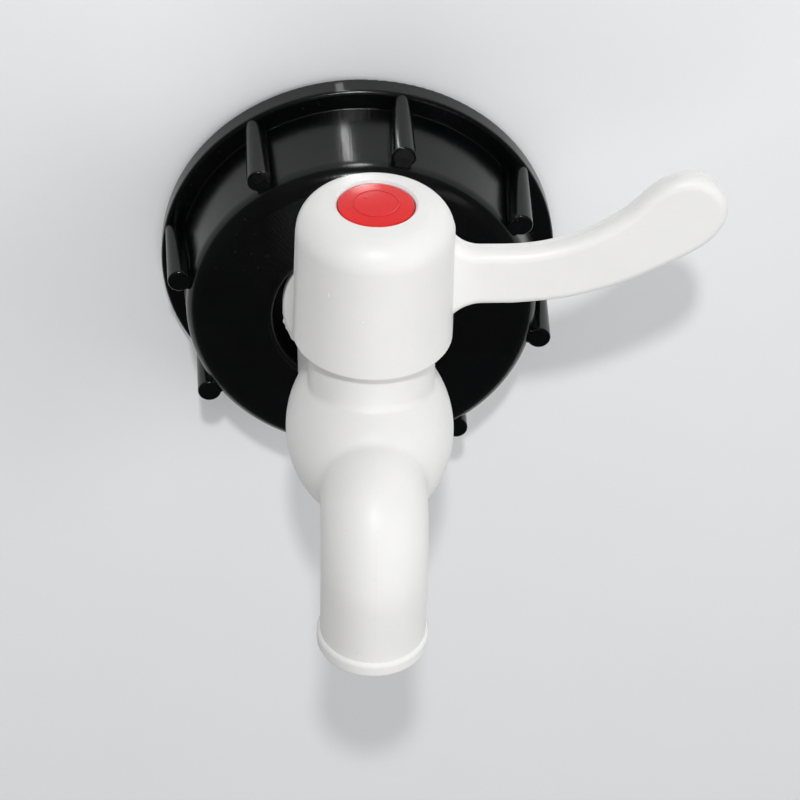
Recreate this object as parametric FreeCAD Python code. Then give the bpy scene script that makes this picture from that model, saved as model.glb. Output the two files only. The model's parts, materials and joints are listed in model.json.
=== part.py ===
import FreeCAD, Part

import math
import os

# Quarter-turn plastic tap in a screw cap for the outlet of a liquid container.
# Millimetres. The origin is the centre of the cap's open rim.
# +Y goes into the container, -Y toward the user, +X is the lever's side and +Z is up.

# Screw cap
cap_bore_radius = 30.3
cap_wall = 4.1
cap_skirt_draft = 1.6
cap_flange_width = 4.0
cap_flange_thickness = 5.0
cap_edge = 0.8
cap_root_edge = 0.3
cap_depth = 24.8
cap_front_edge = 4.0
cap_mouth_chamfer = 1.2
cap_plate = 4.0
cap_pocket_gap = 2.1
cap_pocket_depth = 7.2
cap_pocket_plate = 4.0
cap_boss_wall = 3.7

# Grip ribs on the cap
rib_count = 8
rib_first_angle = 11.5
rib_rear_inset = 0.15
rib_front_inset = 1.1
rib_rear_radius = 1.75
rib_front_radius = 2.4
rib_web_share = 0.8
rib_front_setback = 2.5
rib_end_edge = 0.5

# Seals and nut that clamp the tap in the cap
gasket_thickness = 3.0
gasket_clearance = 0.4
shoulder_washer_thickness = 1.0
lock_washer_thickness = 1.2
lock_nut_thickness = 6.5
lock_nut_wall = 3.02
tail_thread_radius = 10.48
tail_past_nut = 2.4
tail_end_chamfer = 1.0
tap_flange_step = 2.7
tap_flange_thickness = 2.4
tap_flange_edge = 0.5

# Ball, seats and barrel
handle_axis_y = -58.4
flow_radius = 6.0
ball_wall = 3.8
ball_fit = 0.05
ball_chamber_gap = 0.6
ball_slot_wall = 1.2
seat_back = 1.4
seat_ring_section = 0.82
barrel_wall = 2.6
barrel_blend = 3.0
bulge_wall = 5.25
bulge_half_length = 21.4

# Stem, gland and neck
stem_radius = 5.0
stem_shoulder_step = 1.5
stem_shoulder_gap = 0.2
stem_shoulder_height = 2.3
stem_square = 7.0
stem_ring_section = 0.75
stem_ring_inset = 3.5
tang_thickness = 5.0
thrust_washer_thickness = 0.8
gland_wall = 3.8
gland_washer_thickness = 1.2
gland_setback = 0.8
gland_slot_width = 2.4
gland_slot_depth = 2.0
neck_floor = 3.85
neck_wall = 2.8
neck_in_handle = 11.0
neck_blend = 1.6

# Spout
spout_reach = 27.0
spout_drop = 28.9
spout_bore_step = 1.2
spout_wall = 2.55
spout_blend = 3.0
outlet_throat = 1.2
outlet_lead = 0.5
lip_step = 0.6
lip_height = 3.3
lip_edge = 0.9

# Quarter-turn stop
turn_angle = 90.0
stop_wall = 1.9
stop_height = 2.6
stop_tab_angle = 14.0
stop_play_angle = 0.7
stop_tab_direction = 180.0

# Handle
handle_foot = 22.0
handle_height = 27.9
handle_neck_gap = 0.4
handle_wall = 1.9
handle_draft = 0.6
handle_dome_drop = 1.1
handle_shoulder_edge = 5.5
handle_roof = 2.1
handle_edge = 0.4
handle_rib_count = 6
handle_rib_width = 1.6
hub_wall = 2.4
hub_gap = 1.0
hub_web = 2.0
button_recess_radius = 6.95
button_recess_depth = 2.6
screw_well_depth = 4.5

# Lever
lever_lift = 12.8
lever_thickness = 5.0
lever_neck_half = 5.5
lever_paddle_half = 7.4
lever_reach = 54.3
lever_rise = 13.5
lever_bend_start = 22.0
lever_bend_power = 2.3
lever_edge = 1.7
lever_upper_flare = 5.9
lever_lower_flare = 6.6
lever_stations = 6
lever_tip_stations = 4

# Indicator button and handle screw
button_clearance = 0.2
button_edge_drop = 0.3
button_dome = 0.5
button_edge = 0.35
button_skirt_wall = 0.9
button_skirt_gap = 0.7
screw_radius = 1.9
screw_head_radius = 3.7
screw_head_height = 2.2
screw_length = 11.0
screw_washer_radius = 4.5
screw_washer_thickness = 0.8

# Clearances, and how near a seam a point must lie to count as on it
slip_fit = 0.05
running_gap = 0.3
face_gap = 0.05
seam_tolerance = 2e-3

# Radii that follow from the sizes above
cap_front_radius = cap_bore_radius + cap_wall
cap_rear_radius = cap_front_radius + cap_skirt_draft
cap_flange_radius = cap_rear_radius + cap_flange_width
ball_radius = flow_radius + ball_wall
barrel_bore_radius = ball_radius + ball_chamber_gap
barrel_radius = barrel_bore_radius + barrel_wall
bulge_radius = barrel_bore_radius + bulge_wall
seat_ring_radius = (flow_radius + barrel_bore_radius) / 2
tap_flange_radius = barrel_radius + tap_flange_step
cap_pocket_radius = tap_flange_radius + cap_pocket_gap
cap_boss_radius = cap_pocket_radius + cap_boss_wall
stem_shoulder_radius = stem_radius + stem_shoulder_step
neck_cavity_radius = stem_radius + gland_wall
neck_radius = neck_cavity_radius + neck_wall
spout_bore_radius = flow_radius + spout_bore_step
spout_radius = spout_bore_radius + spout_wall
lip_radius = spout_radius + lip_step
handle_cavity_radius = neck_radius + handle_neck_gap
handle_shoulder_radius = handle_cavity_radius + handle_wall
handle_foot_radius = handle_shoulder_radius + handle_draft
hub_radius = stem_radius + hub_wall
screw_well_radius = screw_washer_radius + button_skirt_gap
lock_nut_apothem = tail_thread_radius + lock_nut_wall

# Stations along the barrel
cap_front_y = -cap_depth
cap_plate_back_y = cap_front_y + cap_plate
pocket_floor_y = cap_front_y + cap_pocket_depth
pocket_back_y = pocket_floor_y + cap_pocket_plate
tap_flange_back_y = pocket_floor_y - shoulder_washer_thickness
tap_flange_front_y = tap_flange_back_y - tap_flange_thickness
tail_ring_y = tap_flange_front_y - 3 * seat_ring_section
nut_front_y = pocket_back_y + lock_washer_thickness
nut_back_y = nut_front_y + lock_nut_thickness
tail_end_y = nut_back_y + tail_past_nut
seat_floor = ball_radius + seat_back
seat_reach = stem_shoulder_radius + running_gap
inlet_floor_y = handle_axis_y + seat_floor
outlet_floor_y = handle_axis_y - seat_floor
spout_axis_y = handle_axis_y - spout_reach
spout_bend_y = outlet_floor_y - outlet_throat - outlet_lead
spout_bend_radius = spout_bend_y - spout_axis_y

# Heights on the handle axis
ball_slot_floor = flow_radius + ball_slot_wall
stem_shoulder_bottom = ball_radius + stem_shoulder_gap
stem_shoulder_top = stem_shoulder_bottom + stem_shoulder_height
thrust_top = stem_shoulder_top + thrust_washer_thickness
stem_chamber_top = thrust_top + face_gap
neck_cavity_floor = stem_chamber_top + neck_floor
gland_nut_bottom = neck_cavity_floor + gland_washer_thickness
neck_top = handle_foot + neck_in_handle
gland_nut_top = neck_top - gland_setback
stem_ring_lower = gland_nut_bottom + stem_ring_inset
stem_ring_upper = gland_nut_top - stem_ring_inset
hub_bottom = gland_nut_top + hub_gap
handle_rim = handle_foot + handle_height
handle_dome_edge = handle_rim - handle_dome_drop
button_floor = handle_rim - button_recess_depth
handle_ceiling = button_floor - handle_roof
web_top = button_floor - screw_well_depth
web_bottom = web_top - hub_web
stem_top = web_bottom - running_gap
screw_head_bottom = web_top + screw_washer_thickness
screw_tip = web_top - screw_length
spout_end = -spout_drop
lever_neck_height = handle_foot + lever_lift

AXIS_Y = FreeCAD.Vector(0, 1, 0)
AXIS_Z = FreeCAD.Vector(0, 0, 1)
CAP_CENTRE = FreeCAD.Vector(0, 0, 0)
TURN_CENTRE = FreeCAD.Vector(0, handle_axis_y, 0)


def rounded_wire(corners, place):
    """Closed wire through (a, b, radius) corners; a corner with a radius becomes a tangent arc."""
    count = len(corners)
    stretches = []
    for index, (a, b, radius) in enumerate(corners):
        here = place(a, b)
        before = place(*corners[index - 1][:2]) - here
        after = place(*corners[(index + 1) % count][:2]) - here
        before.normalize()
        after.normalize()
        if radius <= 0:
            stretches.append((here, None, here))
            continue
        half = before.getAngle(after) / 2
        tangent = radius / math.tan(half)
        middle_way = before + after
        middle_way.normalize()
        middle = here + middle_way * (radius / math.sin(half) - radius)
        stretches.append((here + before * tangent, middle, here + after * tangent))
    edges = []
    for index, (start, middle, end) in enumerate(stretches):
        if middle is not None:
            edges.append(Part.Arc(start, middle, end).toShape())
        following = stretches[(index + 1) % count][0]
        if (following - end).Length > 1e-6:
            edges.append(Part.LineSegment(end, following).toShape())
    return Part.Wire(edges)


def turned_y(corners):
    """Solid turned about the cap and barrel axis from (radius, y, corner radius) corners."""
    wire = rounded_wire(corners, lambda radius, y: FreeCAD.Vector(radius, y, 0))
    return Part.Face(wire).revolve(CAP_CENTRE, AXIS_Y, 360)


def turned_z(corners):
    """Solid turned about the handle axis from (radius, z, corner radius) corners."""
    wire = rounded_wire(corners, lambda radius, z: FreeCAD.Vector(radius, handle_axis_y, z))
    return Part.Face(wire).revolve(TURN_CENTRE, AXIS_Z, 360)


def cylinder_y(radius, start, end):
    """Plain cylinder along Y between two stations."""
    low, high = sorted((start, end))
    return Part.makeCylinder(radius, high - low, FreeCAD.Vector(0, low, 0), AXIS_Y)


def cylinder_z(radius, bottom, top):
    """Plain cylinder about the handle axis between two heights."""
    return Part.makeCylinder(radius, top - bottom, FreeCAD.Vector(0, handle_axis_y, bottom), AXIS_Z)


def ring_y(inner, outer, start, end):
    """Flat ring along Y."""
    return cylinder_y(outer, start, end).cut(cylinder_y(inner, start, end))


def ring_z(inner, outer, bottom, top):
    """Flat ring about the handle axis."""
    return cylinder_z(outer, bottom, top).cut(cylinder_z(inner, bottom, top))


def centred_box(size_x, size_y, bottom, top):
    """Box centred on the handle axis between two heights."""
    corner = FreeCAD.Vector(-size_x / 2, handle_axis_y - size_y / 2, bottom)
    return Part.makeBox(size_x, size_y, top - bottom, corner)


def sector_z(inner, outer, bottom, top, first_angle, last_angle):
    """Part of a flat ring about the handle axis between two directions."""
    base = FreeCAD.Vector(0, handle_axis_y, bottom)
    span = last_angle - first_angle
    outside = Part.makeCylinder(outer, top - bottom, base, AXIS_Z, span)
    inside = Part.makeCylinder(inner, top - bottom, base, AXIS_Z, span)
    outside.rotate(TURN_CENTRE, AXIS_Z, first_angle)
    inside.rotate(TURN_CENTRE, AXIS_Z, first_angle)
    return outside.cut(inside)


def cap_rib():
    """One grip rib: a tapered rod on a narrow web, sloping inward to its flat round end."""
    root = cap_bore_radius + cap_wall / 2
    rear_y = -cap_flange_thickness / 2
    front_y = cap_front_y + rib_front_setback
    rear_height = cap_flange_radius - rib_rear_inset - rib_rear_radius
    front_height = cap_flange_radius - rib_front_inset - rib_front_radius
    rear = FreeCAD.Vector(0, rear_y, rear_height)
    run = FreeCAD.Vector(0, front_y, front_height) - rear
    rod = Part.makeCone(rib_rear_radius, rib_front_radius, run.Length, rear, run)
    ends = seam_edges(rod, lambda p: p.y < front_y + rib_end_edge)
    rod = rod.makeFillet(rib_end_edge, ends)
    outline = [(rear_y, root), (rear_y, rear_height), (front_y, front_height), (front_y, root)]
    half = rib_web_share * rib_rear_radius
    points = [FreeCAD.Vector(-half, y, z) for y, z in outline]
    web = Part.Face(Part.makePolygon(points + points[:1])).extrude(FreeCAD.Vector(2 * half, 0, 0))
    return rod.fuse(web)


def make_cap_shell():
    """Ribbed screw cap with a plain bore and a sunk centre that takes the tap's shoulder."""
    hole = tail_thread_radius + slip_fit
    shell = turned_y([
        (hole, pocket_floor_y, 0),
        (cap_pocket_radius, pocket_floor_y, 0),
        (cap_pocket_radius, cap_front_y, cap_edge),
        (cap_front_radius, cap_front_y, cap_front_edge),
        (cap_rear_radius, -cap_flange_thickness, cap_root_edge),
        (cap_flange_radius, -cap_flange_thickness, cap_edge),
        (cap_flange_radius, 0, cap_edge),
        (cap_bore_radius + cap_mouth_chamfer, 0, 0),
        (cap_bore_radius, -cap_mouth_chamfer, 0),
        (cap_bore_radius, cap_plate_back_y, 0),
        (cap_boss_radius, cap_plate_back_y, 0),
        (cap_boss_radius, pocket_back_y, 0),
        (hole, pocket_back_y, 0),
    ])
    rib = cap_rib()
    ribs = []
    for index in range(rib_count):
        copy = rib.copy()
        copy.rotate(CAP_CENTRE, AXIS_Y, rib_first_angle + index * 360.0 / rib_count)
        ribs.append(copy)
    return shell.multiFuse(ribs).removeSplitter()


def make_tank_gasket():
    """Flat seal inside the cap, against the rim of the container's neck."""
    inner = cap_boss_radius + gasket_clearance
    outer = cap_bore_radius - gasket_clearance
    return ring_y(inner, outer, cap_plate_back_y, cap_plate_back_y + gasket_thickness)


def make_shoulder_washer():
    """Seal between the sunk centre of the cap and the tap's flange."""
    inner = tail_thread_radius + slip_fit
    return ring_y(inner, tap_flange_radius - tap_flange_edge, tap_flange_back_y, pocket_floor_y)


def make_lock_washer():
    """Plain washer under the lock nut."""
    inner = tail_thread_radius + slip_fit
    return ring_y(inner, lock_nut_apothem, pocket_back_y, nut_front_y)


def make_lock_nut():
    """Hexagon nut on the tail, with turned-off corners."""
    corner = lock_nut_apothem / math.cos(math.radians(30))
    points = []
    for index in range(7):
        angle = math.radians(30 + 60 * index)
        points.append(FreeCAD.Vector(corner * math.cos(angle), nut_front_y, corner * math.sin(angle)))
    hexagon = Part.Face(Part.makePolygon(points)).extrude(FreeCAD.Vector(0, lock_nut_thickness, 0))
    chamfer = corner - lock_nut_apothem
    turned = turned_y([
        (0, nut_front_y, 0),
        (corner, nut_front_y, 0),
        (corner, nut_back_y - chamfer / 2, 0),
        (corner - chamfer, nut_back_y, 0),
        (0, nut_back_y, 0),
    ])
    bore = cylinder_y(tail_thread_radius + slip_fit, nut_front_y, nut_back_y)
    return hexagon.common(turned).cut(bore)


def make_inlet_tail():
    """End piece of the tap: threaded tail, flange and the spigot that holds the ball's inlet seat."""
    spigot = barrel_bore_radius - slip_fit
    groove = spigot - 2 * seat_ring_section
    groove_half = seat_ring_section + slip_fit
    return turned_y([
        (flow_radius, inlet_floor_y, 0),
        (spigot, inlet_floor_y, 0),
        (spigot, tail_ring_y - groove_half, 0),
        (groove, tail_ring_y - groove_half, 0),
        (groove, tail_ring_y + groove_half, 0),
        (spigot, tail_ring_y + groove_half, 0),
        (spigot, tap_flange_front_y, 0),
        (tap_flange_radius, tap_flange_front_y, tap_flange_edge),
        (tap_flange_radius, tap_flange_back_y, tap_flange_edge),
        (tail_thread_radius, tap_flange_back_y, 0),
        (tail_thread_radius, tail_end_y - tail_end_chamfer, 0),
        (tail_thread_radius - tail_end_chamfer, tail_end_y, 0),
        (flow_radius, tail_end_y, 0),
    ])


def make_tail_o_ring():
    """Seal in the groove of the spigot."""
    radius = barrel_bore_radius - slip_fit - seat_ring_section
    centre = FreeCAD.Vector(0, tail_ring_y, 0)
    return Part.makeTorus(radius, seat_ring_section - slip_fit / 2, centre, AXIS_Y)


def elbow(radius, start_y):
    """Tube that runs forward on the barrel axis, bends down and drops to the spout's end."""
    start = FreeCAD.Vector(0, start_y, 0)
    bend_start = FreeCAD.Vector(0, spout_bend_y, 0)
    slant = spout_bend_radius * math.sqrt(0.5)
    bend_middle = FreeCAD.Vector(0, spout_bend_y - slant, slant - spout_bend_radius)
    bend_end = FreeCAD.Vector(0, spout_axis_y, -spout_bend_radius)
    finish = FreeCAD.Vector(0, spout_axis_y, spout_end)
    path = Part.Wire([
        Part.LineSegment(start, bend_start).toShape(),
        Part.Arc(bend_start, bend_middle, bend_end).toShape(),
        Part.LineSegment(bend_end, finish).toShape(),
    ])
    circle = Part.Wire([Part.Circle(start, AXIS_Y, radius).toShape()])
    return path.makePipeShell([circle], True, True)


def bulge():
    """Egg-shaped chamber round the ball, turned about the barrel axis."""
    ellipse = Part.Ellipse(TURN_CENTRE, bulge_half_length, bulge_radius)
    ellipse.rotate(FreeCAD.Placement(TURN_CENTRE, FreeCAD.Rotation(AXIS_Z, 90), FreeCAD.Vector()))
    rear = FreeCAD.Vector(0, handle_axis_y + bulge_half_length, 0)
    front = FreeCAD.Vector(0, handle_axis_y - bulge_half_length, 0)
    arc = Part.ArcOfEllipse(ellipse, math.pi, 2 * math.pi).toShape()
    face = Part.Face(Part.Wire([arc, Part.LineSegment(rear, front).toShape()]))
    return face.revolve(CAP_CENTRE, AXIS_Y, 360)


def seam_edges(shape, region):
    """Edges of the shape whose whole length lies in the given zone."""
    found = []
    for edge in shape.Edges:
        if not edge.Degenerated and all(region(point) for point in edge.discretize(9)):
            found.append(edge)
    return found


def on_bulge(point):
    """Whether a point lies on the front half of the chamber's egg-shaped surface."""
    along = (point.y - handle_axis_y) / bulge_half_length
    across = math.hypot(point.x, point.z) / bulge_radius
    return abs(along ** 2 + across ** 2 - 1) < seam_tolerance and along < -0.5


def make_valve_body():
    """Moulded body: barrel, egg-shaped chamber, neck with its stop wall, and the bent spout."""
    barrel = cylinder_y(barrel_radius, tap_flange_front_y, handle_axis_y)
    outside = barrel.fuse(bulge())
    rear_seam = seam_edges(
        outside,
        lambda p: abs(math.hypot(p.x, p.z) - barrel_radius) < seam_tolerance
        and handle_axis_y < p.y < tap_flange_front_y - seam_tolerance,
    )
    outside = outside.makeFillet(barrel_blend, rear_seam)
    outside = outside.fuse(cylinder_z(neck_radius, 0, neck_top))
    neck_seam = seam_edges(
        outside,
        lambda p: abs(math.hypot(p.x, p.y - handle_axis_y) - neck_radius) < seam_tolerance
        and 0 < p.z < neck_top - seam_tolerance,
    )
    outside = outside.makeFillet(neck_blend, neck_seam)
    outside = outside.fuse(elbow(spout_radius, handle_axis_y))
    spout_seam = seam_edges(outside, on_bulge)
    outside = outside.makeFillet(spout_blend, spout_seam)
    lip = turned_z([
        (0, spout_end, 0),
        (lip_radius, spout_end, lip_edge),
        (lip_radius, spout_end + lip_height, lip_edge),
        (0, spout_end + lip_height, 0),
    ])
    lip.translate(FreeCAD.Vector(0, spout_axis_y - handle_axis_y, 0))
    outside = outside.fuse(lip)
    tab_half = stop_tab_angle / 2 + stop_play_angle
    first = stop_tab_direction + tab_half
    last = stop_tab_direction + 360 - turn_angle - tab_half
    stop_top = neck_top + stop_height
    stop = sector_z(neck_radius - stop_wall, neck_radius, neck_top - stop_wall, stop_top, first, last)
    outside = outside.fuse(stop)
    hollows = [
        cylinder_y(barrel_bore_radius, outlet_floor_y, tap_flange_front_y),
        cylinder_z(stem_shoulder_radius + slip_fit, 0, stem_chamber_top),
        cylinder_z(stem_radius + slip_fit, 0, neck_cavity_floor),
        cylinder_z(neck_cavity_radius, neck_cavity_floor, stop_top),
        cylinder_y(flow_radius, outlet_floor_y - outlet_throat, handle_axis_y),
        elbow(spout_bore_radius, outlet_floor_y - outlet_throat),
    ]
    return outside.cut(hollows)


def seat(direction):
    """Seat ring with a hollow face for the ball; direction is +1 on the inlet side, -1 on the outlet."""
    floor_y = handle_axis_y + direction * seat_floor
    face_y = handle_axis_y + direction * seat_reach
    body = ring_y(flow_radius, barrel_bore_radius - slip_fit, face_y, floor_y)
    hollow = Part.makeSphere(ball_radius + ball_fit, TURN_CENTRE)
    half = seat_ring_section + slip_fit
    groove = ring_y(seat_ring_radius - half, seat_ring_radius + half, floor_y, floor_y - direction * 2 * half)
    return body.cut(hollow).cut(groove)


def seat_o_ring(direction):
    """Soft ring that pushes a seat against the ball."""
    centre_y = handle_axis_y + direction * (seat_floor - seat_ring_section)
    return Part.makeTorus(seat_ring_radius, seat_ring_section, FreeCAD.Vector(0, centre_y, 0), AXIS_Y)


def make_ball():
    """Ball with its bore across the flow, closed, and the slot for the stem's tang."""
    sphere = Part.makeSphere(ball_radius, TURN_CENTRE)
    start = FreeCAD.Vector(-2 * ball_radius, handle_axis_y, 0)
    bore = Part.makeCylinder(flow_radius, 4 * ball_radius, start, FreeCAD.Vector(1, 0, 0))
    slot = centred_box(tang_thickness + 2 * slip_fit, 4 * ball_radius, ball_slot_floor, 2 * ball_radius)
    return sphere.cut(bore).cut(slot)


def make_stem():
    """Stem with its tang, shoulder, two ring grooves and the square that drives the handle."""
    groove = stem_radius - 2 * stem_ring_section
    half = stem_ring_section + slip_fit
    corners = [
        (0, stem_shoulder_bottom, 0),
        (stem_shoulder_radius, stem_shoulder_bottom, 0),
        (stem_shoulder_radius, stem_shoulder_top, 0),
        (stem_radius, stem_shoulder_top, 0),
    ]
    for height in (stem_ring_lower, stem_ring_upper):
        corners.append((stem_radius, height - half, 0))
        corners.append((groove, height - half, 0))
        corners.append((groove, height + half, 0))
        corners.append((stem_radius, height + half, 0))
    corners.append((stem_radius, hub_bottom, 0))
    corners.append((0, hub_bottom, 0))
    shaft = turned_z(corners)
    square = centred_box(stem_square, stem_square, hub_bottom, stem_top)
    drive = square.common(cylinder_z(stem_radius, hub_bottom, stem_top))
    tang_bottom = ball_slot_floor + 2 * slip_fit
    tang = centred_box(tang_thickness, 2 * stem_shoulder_radius, tang_bottom, stem_shoulder_bottom)
    tang = tang.common(cylinder_z(stem_shoulder_radius, tang_bottom, stem_shoulder_bottom))
    pilot = cylinder_z(screw_radius + slip_fit, screw_tip - running_gap, stem_top)
    return shaft.multiFuse([drive, tang]).cut(pilot).removeSplitter()


def make_thrust_washer():
    """Low-friction washer between the stem's shoulder and the body."""
    return ring_z(stem_radius + slip_fit, stem_shoulder_radius, stem_shoulder_top, thrust_top)


def stem_o_ring(height):
    """Stem seal in its groove."""
    radius = stem_radius - stem_ring_section
    centre = FreeCAD.Vector(0, handle_axis_y, height)
    return Part.makeTorus(radius, stem_ring_section - slip_fit / 2, centre, AXIS_Z)


def make_gland_washer():
    """Packing ring at the bottom of the neck."""
    inner = stem_radius + slip_fit
    outer = neck_cavity_radius - slip_fit
    return ring_z(inner, outer, neck_cavity_floor, gland_nut_bottom)


def make_gland_nut():
    """Nut screwed into the neck round the stem, with two slots for its key."""
    outer = neck_cavity_radius - slip_fit
    nut = ring_z(stem_radius + slip_fit, outer, gland_nut_bottom, gland_nut_top)
    slot_bottom = gland_nut_top - gland_slot_depth
    return nut.cut(centred_box(2 * neck_cavity_radius, gland_slot_width, slot_bottom, gland_nut_top))


def lever_bend(along):
    """Share of the lever's upward sweep that lies nearer to the handle axis, from nought to one."""
    return max(0.0, (along - lever_bend_start) / (lever_reach - lever_bend_start))


def lever_height(along):
    """Height of the lever's middle line at a distance from the handle axis."""
    return lever_neck_height + lever_rise * lever_bend(along) ** lever_bend_power


def lever_slope(along):
    """Angle of the lever's middle line above the level."""
    climb = lever_rise * lever_bend_power * lever_bend(along) ** (lever_bend_power - 1)
    return math.atan2(climb, lever_reach - lever_bend_start)


def lever_half(along):
    """Half the lever's height, square to its middle line."""
    swell = lever_paddle_half - lever_neck_half
    return lever_neck_half + swell * lever_bend(along) ** lever_bend_power


def on_lever_face(x, z):
    """Point on the front face of the lever."""
    return FreeCAD.Vector(x, handle_axis_y - lever_thickness / 2, z)


def lever_outline():
    """Closed outline of the lever in the front plane, from the skirt to the round paddle and back."""
    root = handle_cavity_radius + handle_wall / 2
    start = root + lever_lower_flare
    pitch = (lever_reach - start) / lever_stations
    upper = []
    lower = []
    for index in range(lever_stations + 1):
        along = start + pitch * index
        z = lever_height(along)
        slope = lever_slope(along)
        half = lever_half(along)
        upper.append(on_lever_face(along - half * math.sin(slope), z + half * math.cos(slope)))
        lower.append(on_lever_face(along + half * math.sin(slope), z - half * math.cos(slope)))
    tip_z = lever_height(lever_reach)
    tip = []
    for index in range(1, lever_tip_stations):
        angle = slope + math.pi / 2 - math.pi * index / lever_tip_stations
        across = lever_paddle_half * math.cos(angle)
        tip.append(on_lever_face(lever_reach + across, tip_z + lever_paddle_half * math.sin(angle)))
    sweep = Part.BSplineCurve()
    level = FreeCAD.Vector(1, 0, 0)
    sweep.interpolate(upper + tip + lower[::-1], InitialTangent=level, FinalTangent=level * -1)
    bow = 1 - math.sqrt(0.5)
    top = lever_neck_height + lever_neck_half
    bottom = lever_neck_height - lever_neck_half
    above = on_lever_face(root, top + lever_upper_flare)
    above_middle = on_lever_face(root + lever_upper_flare * bow, top + lever_upper_flare * bow)
    above_end = on_lever_face(root + lever_upper_flare, top)
    below = on_lever_face(root, bottom - lever_lower_flare)
    below_middle = on_lever_face(root + lever_lower_flare * bow, bottom - lever_lower_flare * bow)
    edges = [Part.Arc(above, above_middle, above_end).toShape()]
    if lever_lower_flare > lever_upper_flare:
        edges.append(Part.LineSegment(above_end, upper[0]).toShape())
    edges.append(sweep.toShape())
    edges.append(Part.Arc(lower[0], below_middle, below).toShape())
    edges.append(Part.LineSegment(below, above).toShape())
    return Part.Wire(edges)


def lever():
    """Upright blade with rounded edges that sweeps up to a round paddle."""
    blade = Part.Face(lever_outline()).extrude(FreeCAD.Vector(0, lever_thickness, 0))
    root = handle_cavity_radius + handle_wall / 2
    flat = seam_edges(blade, lambda p: abs(abs(p.y - handle_axis_y) - lever_thickness / 2) < seam_tolerance)
    edges = [edge for edge in flat if edge.BoundBox.XMax > root + seam_tolerance]
    return blade.makeFillet(lever_edge, edges)


def make_handle():
    """Dome-topped handle with its skirt, lever, hub, inner ribs and the tab of the quarter-turn stop."""
    knob = turned_z([
        (0, handle_foot, 0),
        (handle_foot_radius, handle_foot, handle_edge),
        (handle_shoulder_radius, handle_dome_edge, handle_shoulder_edge),
        (button_recess_radius + handle_edge, handle_rim, 0),
        (button_recess_radius, handle_rim - handle_edge, 0),
        (button_recess_radius, button_floor, 0),
        (0, button_floor, 0),
    ])
    foot_bore = handle_foot_radius - handle_wall
    cavity = turned_z([
        (0, handle_foot, 0),
        (foot_bore, handle_foot, 0),
        (foot_bore, handle_foot + handle_wall, 0),
        (handle_cavity_radius, handle_foot + 2 * handle_wall, 0),
        (handle_cavity_radius, handle_ceiling, 0),
        (0, handle_ceiling, 0),
    ])
    handle = knob.fuse(lever()).cut(cavity)
    wall_middle = handle_cavity_radius + handle_wall / 2
    roof_middle = handle_ceiling + handle_roof / 2
    inside = [cylinder_z(hub_radius, hub_bottom, roof_middle)]
    rib_bottom = neck_top + stop_height + running_gap
    for index in range(handle_rib_count):
        corner = FreeCAD.Vector(0, handle_axis_y - handle_rib_width / 2, rib_bottom)
        rib = Part.makeBox(wall_middle, handle_rib_width, roof_middle - rib_bottom, corner)
        rib.rotate(TURN_CENTRE, AXIS_Z, stop_tab_direction + index * 360.0 / handle_rib_count)
        inside.append(rib)
    first = stop_tab_direction - stop_tab_angle / 2
    last = stop_tab_direction + stop_tab_angle / 2
    tab_root = (stem_radius + hub_radius) / 2
    inside.append(sector_z(tab_root, wall_middle, neck_top + running_gap, roof_middle, first, last))
    handle = handle.multiFuse(inside)
    socket_side = stem_square + 2 * slip_fit
    socket = centred_box(socket_side, socket_side, hub_bottom, web_bottom)
    socket = socket.common(cylinder_z(stem_radius + slip_fit, hub_bottom, web_bottom))
    hole = cylinder_z(screw_radius + 2 * slip_fit, hub_bottom, handle_rim)
    well = cylinder_z(screw_well_radius, web_top, handle_rim)
    return handle.cut([socket, hole, well]).removeSplitter()


def make_button():
    """Domed indicator button with the skirt that snaps round the screw head."""
    outer = button_recess_radius - button_clearance
    edge_height = handle_rim - button_edge_drop
    crown = edge_height + button_dome
    dome_radius = (outer ** 2 + button_dome ** 2) / (2 * button_dome)
    disc = cylinder_z(outer, button_floor, crown)
    disc = disc.common(Part.makeSphere(dome_radius, FreeCAD.Vector(0, handle_axis_y, crown - dome_radius)))
    rims = seam_edges(disc, lambda p: abs(p.z - edge_height) < seam_tolerance)
    disc = disc.makeFillet(button_edge, rims)
    skirt_outer = screw_well_radius - slip_fit
    skirt_bottom = screw_head_bottom + running_gap
    skirt = ring_z(skirt_outer - button_skirt_wall, skirt_outer, skirt_bottom, button_floor)
    return disc.fuse(skirt).removeSplitter()


def make_handle_screw():
    """Pan-head screw that holds the handle on the stem."""
    point = screw_radius / 2
    head_top = screw_head_bottom + screw_head_height
    return turned_z([
        (0, screw_tip, 0),
        (point, screw_tip, 0),
        (screw_radius, screw_tip + point, 0),
        (screw_radius, screw_head_bottom, 0),
        (screw_head_radius, screw_head_bottom, 0),
        (screw_head_radius, head_top, screw_head_height / 2),
        (0, head_top, 0),
    ])


def make_screw_washer():
    """Washer under the head of the handle screw."""
    return ring_z(screw_radius + slip_fit, screw_washer_radius, web_top, screw_head_bottom)


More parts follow.
